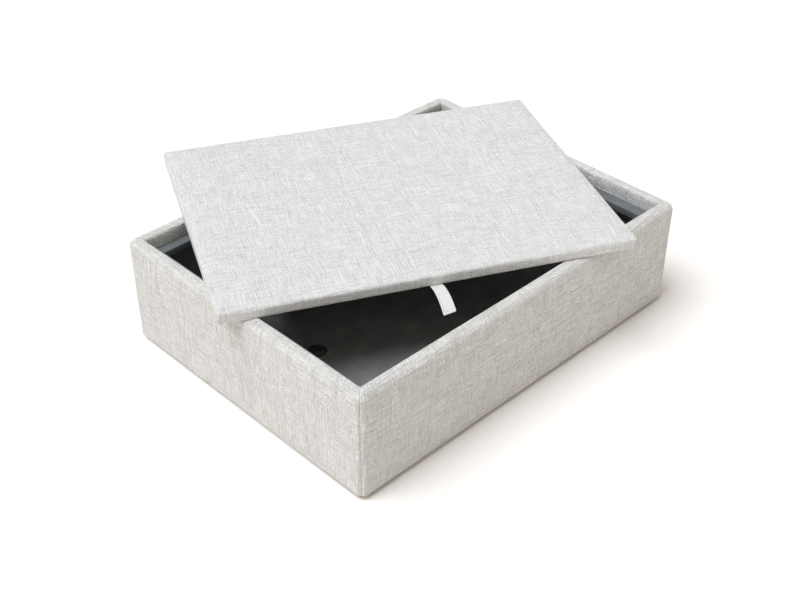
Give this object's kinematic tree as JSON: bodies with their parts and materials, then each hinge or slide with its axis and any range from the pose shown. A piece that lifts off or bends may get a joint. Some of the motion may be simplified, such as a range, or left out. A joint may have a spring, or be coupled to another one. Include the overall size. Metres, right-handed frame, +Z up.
{
  "type": "upholstered storage box",
  "caption": "Low fabric-covered storage box with a plywood frame, a felt-lined cavity and a loose upholstered lid with a pull tab.",
  "frame": {"origin": "middle of the box on the floor, under the centre feet and glides", "axes": "+X along the long walls, +Y along the short walls, +Z up"},
  "size_m": [1.012, 0.9184, 0.2642],
  "materials": {
    "linen_weave": "cream slub-weave upholstery cloth, matte",
    "foam": "open-cell polyurethane foam and batting",
    "ledge_grey": "pine rail painted satin grey",
    "dark_felt": "charcoal needle felt",
    "black_cambric": "black non-woven cambric",
    "black_plastic": "moulded black polypropylene",
    "glide_nylon": "moulded nylon",
    "zinc_steel": "zinc-plated steel",
    "staple_steel": "galvanised wire",
    "plywood": "birch plywood",
    "pine": "sawn pine"
  },
  "bodies": {
    "box": {"back_board": "plywood", "base_panel": "plywood", "bolt_cap_left": "black_plastic", "bolt_cap_right": "black_plastic", "centre_foot_left": "black_plastic", "centre_foot_right": "black_plastic", "corner_block_back_left": "pine", "corner_block_back_right": "pine", "corner_block_front_left": "pine", "corner_block_front_right": "pine", "cover_back": "linen_weave", "cover_front": "linen_weave", "cover_left": "linen_weave", "cover_right": "linen_weave", "cross_rail_left": "pine", "cross_rail_right": "pine", "dust_cover": "black_cambric", "dust_cover_staples": "staple_steel", "floor_cleat_back": "pine", "floor_cleat_front": "pine", "floor_cleat_left": "pine", "floor_cleat_right": "pine", "floor_liner": "dark_felt", "foot_bolts": "zinc_steel", "frame_screws": "zinc_steel", "front_board": "plywood", "glide_back_left": "glide_nylon", "glide_back_right": "glide_nylon", "glide_front_left": "glide_nylon", "glide_front_right": "glide_nylon", "ledge_back": "ledge_grey", "ledge_front": "ledge_grey", "ledge_left": "ledge_grey", "ledge_right": "ledge_grey", "left_board": "plywood", "pad_back": "foam", "pad_front": "foam", "pad_left": "foam", "pad_right": "foam", "panel_screws": "zinc_steel", "right_board": "plywood", "wall_liner_back": "dark_felt", "wall_liner_front": "dark_felt", "wall_liner_left": "dark_felt", "wall_liner_right": "dark_felt"},
    "lid": {"lid_cover": "linen_weave", "lid_board": "plywood", "lid_foam": "foam", "lid_backing": "black_cambric", "lid_staples": "staple_steel", "tab_anchor": "linen_weave"},
    "tab": {"pull_tab": "linen_weave"}
  },
  "joints": [
    {"name": "lid_lift", "type": "slide", "parent": "box", "child": "lid", "axis": [0, 0, 1], "range_m": [0, 0.3]},
    {"name": "tab_swing", "type": "hinge", "parent": "lid", "child": "tab", "pos_m": [-0.11755, -0.19875, 0.242], "axis": [-0.8926, 0.4509, 0], "range_deg": [-60, 70], "stiffness_Nm_per_rad": 0.03, "springref_deg": 1.72}
  ]
}
